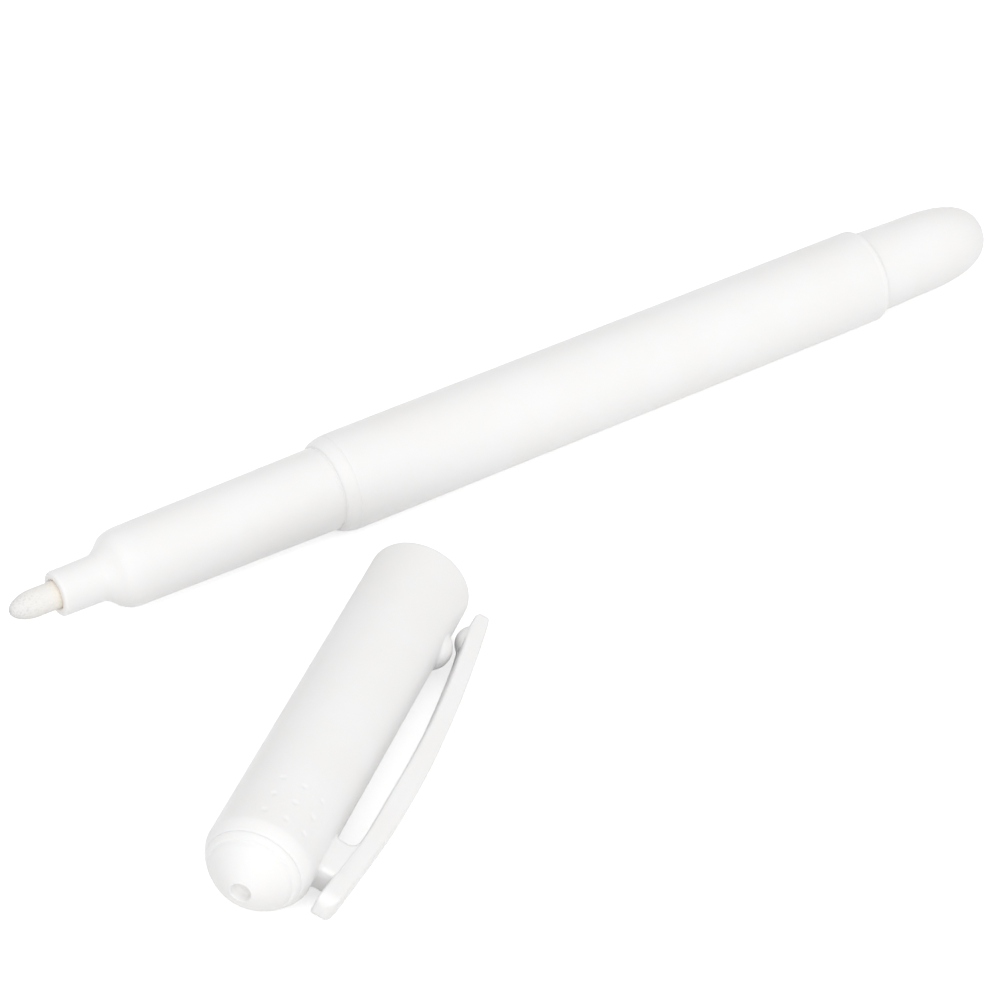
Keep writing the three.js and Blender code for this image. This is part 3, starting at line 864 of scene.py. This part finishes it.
def makeLiner(shape):
    mouth, outer, lip = shape["mouth"], shape["outer"], shape["lip"]
    end = mouth + shape["length"]
    inside, floor = outer - shape["wall"], end - shape["wall"]
    rounding = shape["endRound"]
    profile = [(-end, 0), (-end, outer - rounding)]
    for turn in spread(0, math.pi / 2, shape["endSteps"])[1:]:
        low = rounding - rounding * math.cos(turn)
        profile.append((-(end - low), outer - rounding + rounding * math.sin(turn)))
    profile += [(-(mouth + shape["mouthBevel"]), outer), (-mouth, outer - shape["mouthBevel"])]
    rounding = shape["lipRound"]
    for turn in spread(0, math.pi / 2, shape["lipSteps"]):
        deep = rounding - rounding * math.cos(turn)
        profile.append((-(mouth + deep), lip + rounding - rounding * math.sin(turn)))
    lipEnd = mouth + shape["lipLength"]
    profile += [(-lipEnd, lip), (-(lipEnd + shape["lipCone"]), inside)]
    bevel = shape["innerBevel"]
    profile += [(-(floor - bevel), inside), (-floor, inside - bevel), (-floor, 0)]
    liner = turnPiece("cap_liner_cup", profile, around=96)
    finishPiece(liner, capPlace, "cap", milkyPlastic, "milky_plastic", "inner_cap")


makeLiner(linerShape)
print("liner ready")

# Clip: bowed arm, foot and heel in one piece; heights stand above the cap's wall
clipShape = {
    "width": 3.4,
    "tipRound": 0.5,
    "heelRound": 1.35,
    "edge": 0.3,
    "tip": 0.74,
    "tipSteps": (0, 0.015, 0.04, 0.08, 0.14, 0.22, 0.32, 0.44, 0.58, 0.74, 1, 1.3, 1.7),
    "armStations": (2.9, 45, 76),
    "heelSteps": (1.4, 1.1, 0.85, 0.65, 0.5, 0.37, 0.26, 0.17, 0.1, 0.05, 0.02, 0),
    "heel": 46.95,
    "outer": [
        (0.74, 2.04), (0.78, 2.26), (0.9, 2.48), (1.08, 2.63), (1.36, 2.73), (2.33, 2.9), (4, 3.12),
        (6.3, 3.4), (10.4, 3.84), (14.5, 4.2), (19.6, 4.51), (23.8, 4.69), (26.5, 4.71), (29.8, 4.65),
        (32.9, 4.5), (36.1, 4.25), (39.4, 3.91), (42.5, 3.6), (45.1, 3.33), (45.7, 3.23), (46.25, 3.03),
        (46.65, 2.74), (46.88, 2.38), (46.95, 2.15),
    ],
    "inner": [
        (0.74, 1.96), (0.78, 1.74), (0.9, 1.48), (1.1, 1.27), (1.4, 1.13), (3.6, 1.08), (5.4, 1.36),
        (6.9, 1.58), (8.4, 1.73), (11.6, 2.01), (14.9, 2.24), (19, 2.43), (22.4, 2.46), (26, 2.42),
        (29.5, 2.35), (33.8, 2.28), (37.3, 2.14), (39.66, 1.85), (43.5, 1.41), (46, 1.12), (46.5, 1.09),
        (46.76, 1.25), (46.9, 1.55), (46.95, 1.85),
    ],
    "bend": [(-38.6, 2), (-30, 3.4)],
}
footShape = {
    "front": [
        (-0.5, 38.1), (-0.12, 38.15), (0, 38.3), (0.1, 38.5), (0.25, 38.68), (0.45, 38.75), (1.2, 38.75),
        (1.62, 38.55), (1.92, 38.2), (2.14, 37.65), (2.3, 37.4),
    ],
    "back": [
        (-0.5, 44.05), (-0.12, 44.0), (0, 43.9), (0.1, 43.72), (0.25, 43.57), (0.45, 43.5), (2.3, 43.5),
    ],
    "half": [
        (-0.5, 2.06), (-0.12, 2.0), (0, 1.9), (0.1, 1.78), (0.25, 1.66), (0.45, 1.61), (1.6, 1.6),
        (2.3, 1.62),
    ],
    "rises": [
        2.3, 2.14, 2.05, 1.92, 1.78, 1.62, 1.4, 1.2, 0.8, 0.45, 0.34, 0.25, 0.17, 0.1, 0.05, 0, -0.06,
        -0.12, -0.5,
    ],
    "corner": 0.26,
    "followBelow": 1.2,
    "followSpan": 0.8,
}
buttonShape = {
    "from": 3.9,
    "height": 0.43,
    "radius": 1.97,
    "angle": 48,
    "steps": 20,
    "brim": [(0.07, 0.06), (0.13, 0.14), (0.4, 0.16)],
}


def clipHalf(station):
    # Half the arm's width, which rounds off at the tip and at the heel
    shape = clipShape
    half = shape["width"] / 2
    if station < shape["tip"] + shape["tipRound"]:
        rounding = shape["tipRound"]
        short = shape["tip"] + rounding - station
    elif station > shape["heel"] - shape["heelRound"]:
        rounding = shape["heelRound"]
        short = station - shape["heel"] + rounding
    else:
        return half
    return half - rounding + math.sqrt(max(rounding ** 2 - short ** 2, 0))


def makeArm(shape):
    wall = capShape["radius"]
    stations = [shape["tip"] + way for way in shape["tipSteps"]]
    stations += spread(*shape["armStations"])
    stations += [shape["heel"] - way for way in shape["heelSteps"]]
    sections = []
    for station in stations:
        low = smoothValue(shape["inner"], station)
        high = smoothValue(shape["outer"], station)
        sections.append((-station, wall + (low + high) / 2, clipHalf(station) * 2, high - low))
    return sweepPiece("cap_clip", sections, shape["edge"])


def makeFoot(shape):
    wall = capShape["radius"]
    sections = []
    for rise in shape["rises"]:
        front = smoothValue(shape["front"], rise)
        back = smoothValue(shape["back"], rise)
        half = smoothValue(shape["half"], rise)
        sections.append((wall + rise, -(front + back) / 2, half * 2, back - front))
    post = sweepPiece("clip_foot", sections, shape["corner"], axis="Z")

    def followWall(place):
        share = min(max((shape["followBelow"] - (place.z - wall)) / shape["followSpan"], 0), 1)
        aside = min(abs(place.y), wall)
        return Vector((place.x, place.y, place.z - share * (wall - math.sqrt(wall ** 2 - aside ** 2))))

    reshape(post, followWall)
    return post


def makeButton(shape):
    radius = shape["radius"]
    profile = []
    for turn in spread(0, math.radians(shape["angle"]), shape["steps"]):
        profile.append((radius * (1 - math.cos(turn)), radius * math.sin(turn)))
    lastHeight, lastRadius = profile[-1]
    profile += [(lastHeight + way, lastRadius + wider) for way, wider in shape["brim"]]
    profile += [(profile[-1][0], 0)]
    knob = turnPiece("clip_button", profile, around=72)
    takeUp(knob)
    lifted = Matrix.Translation((-shape["from"], 0, capShape["radius"] + shape["height"]))
    knob.matrix_world = lifted @ Matrix.Rotation(-math.pi / 2, 4, "Y")
    bpy.ops.object.transform_apply(location=True, rotation=True, scale=True)
    return knob


def makeClip(shape, foot, button):
    clip, post, knob = makeArm(shape), makeFoot(foot), makeButton(button)
    takeUp(clip)
    post.select_set(True)
    knob.select_set(True)
    bpy.ops.object.join()
    bpy.ops.object.shade_smooth_by_angle(angle=math.radians(modelling["sweptAngle"]))
    finishPiece(clip, capPlace, None, whitePlastic, "white_plastic", "clip_arm", "clip_base")
    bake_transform(clip)


makeClip(clipShape, footShape, buttonShape)
print("clip ready")

# Valve spring: a coil at its resting length, wound along the valve spring part
springShape = {"wire": 0.17, "sides": 12, "turns": 7, "stepsPerTurn": 24, "softAngle": 60, "travel": 1.5}


def makeSpring(shape):
    low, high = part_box("valve_spring")
    wire = shape["wire"]
    length = (high.x - low.x) * perMetre
    middle = (high.z - low.z) * perMetre / 2 - wire
    start = low.x * perMetre - stepPoint.x + wire
    freeSelection()
    bpy.ops.mesh.primitive_circle_add(
        vertices=shape["sides"], radius=wire, location=(start, 0, middle), rotation=(math.pi / 2, 0, 0))
    bpy.ops.object.transform_apply(location=True, rotation=True, scale=True)
    coil = nameNew("valve_coil")
    winding = coil.modifiers.new("winding", "SCREW")
    winding.axis = "X"
    winding.angle = 2 * math.pi
    winding.iterations = shape["turns"]
    winding.screw_offset = (length - 2 * wire) / shape["turns"]
    winding.steps = shape["stepsPerTurn"]
    winding.render_steps = shape["stepsPerTurn"]
    bpy.ops.object.modifier_apply(modifier=winding.name)
    bpy.ops.object.mode_set(mode="EDIT")
    bpy.ops.mesh.select_all(action="SELECT")
    bpy.ops.mesh.fill_holes(sides=0)
    closeUp(shape["softAngle"])
    finishPiece(coil, penPlace, "pen", springSteel, "spring_steel", "valve_spring")
    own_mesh(coil)


makeSpring(springShape)
print("spring ready")

# The other parts hidden in the pen keep their solids and get their own finishes
for nodeName in ("valve_body", "valve_stem", "valve_cage"):
    bpy.data.objects[nodeName].material_slots[0].material = milkyPlastic
bpy.data.objects["mixing_ball"].material_slots[0].material = ballSteel
print("inner parts finished")

# Floor, light and camera, in metres
studio = {
    "floorSize": 12,
    "floorColour": 0.75,
    "floorWhite": 0.6,
    "ambient": 0.655,
    "lamps": {
        "softbox": {"place": (-0.36, -0.97, 0.68), "size": 2.4, "power": 13.6},
        "overhead": {"place": (-0.25, 0.3, 1.2), "size": 2.4, "power": 2.8},
    },
}


def seenRays(nodes, links):
    # One for rays from the camera or off gloss and glass, nought for light on matt surfaces
    path = nodes.new("ShaderNodeLightPath")
    total = path.outputs["Is Camera Ray"]
    for kind in ("Is Glossy Ray", "Is Transmission Ray"):
        join = nodes.new("ShaderNodeMath")
        join.operation = "MAXIMUM"
        links.new(total, join.inputs[0])
        links.new(path.outputs[kind], join.inputs[1])
        total = join.outputs["Value"]
    return total


def makeFloor(look):
    freeSelection()
    bpy.ops.mesh.primitive_plane_add(size=look["floorSize"], location=(0, 0, 0))
    floor = nameNew("studio_floor")
    paper = bpy.data.materials.new("pale floor")
    paper.use_nodes = True
    nodes, links = paper.node_tree.nodes, paper.node_tree.links
    nodes.remove(nodes["Principled BSDF"])
    matt = nodes.new("ShaderNodeBsdfDiffuse")
    tone = look["floorColour"]
    matt.inputs["Color"].default_value = (tone, tone, tone, 1)
    glow = nodes.new("ShaderNodeEmission")
    strength = addRange(nodes, links, seenRays(nodes, links), 0, look["floorWhite"])
    links.new(strength.outputs["Result"], glow.inputs["Strength"])
    both = nodes.new("ShaderNodeAddShader")
    links.new(matt.outputs["BSDF"], both.inputs[0])
    links.new(glow.outputs["Emission"], both.inputs[1])
    links.new(both.outputs["Shader"], nodes["Material Output"].inputs["Surface"])
    paper.cycles.emission_sampling = "NONE"
    floor.data.materials.append(paper)


def makeWorld(look):
    world = bpy.data.worlds.new("studio")
    bpy.context.scene.world = world
    world.use_nodes = True
    nodes, links = world.node_tree.nodes, world.node_tree.links
    strength = addRange(nodes, links, seenRays(nodes, links), look["ambient"], 1.0)
    links.new(strength.outputs["Result"], nodes["Background"].inputs["Strength"])
    nodes["Background"].inputs["Color"].default_value = (1, 1, 1, 1)


def makeLamp(name, look):
    freeSelection()
    place = Vector(look["place"])
    bpy.ops.object.light_add(type="AREA", location=place)
    lamp = bpy.context.object
    lamp.name = name
    lamp.rotation_euler = (-place).to_track_quat("-Z", "Y").to_euler()
    lamp.data.shape = "DISK"
    lamp.data.size = look["size"]
    lamp.data.energy = look["power"]


makeFloor(studio)
makeWorld(studio)
for lampName, lampLook in studio["lamps"].items():
    makeLamp(lampName, lampLook)

# The camera's place in millimetres from the barrel's step, and the way it looks
view = {
    "place": (-174.093, -293.116, 262.605),
    "forward": (0.444202, 0.660686, -0.605126),
    "lens": 141.668,
    "sensor": 36,
    "clip": (0.01, 20),
}
bpy.ops.object.camera_add(location=(stepPoint + Vector(view["place"])) * millimetre)
camera = bpy.context.object
camera.name = "product_camera"
camera.rotation_euler = Vector(view["forward"]).to_track_quat("-Z", "Y").to_euler()
camera.data.sensor_fit = "HORIZONTAL"
camera.data.sensor_width = view["sensor"]
camera.data.lens = view["lens"]
camera.data.clip_start, camera.data.clip_end = view["clip"]
bpy.context.scene.camera = camera
bpy.context.scene.view_settings.view_transform = "Standard"
print("floor, light and camera ready")
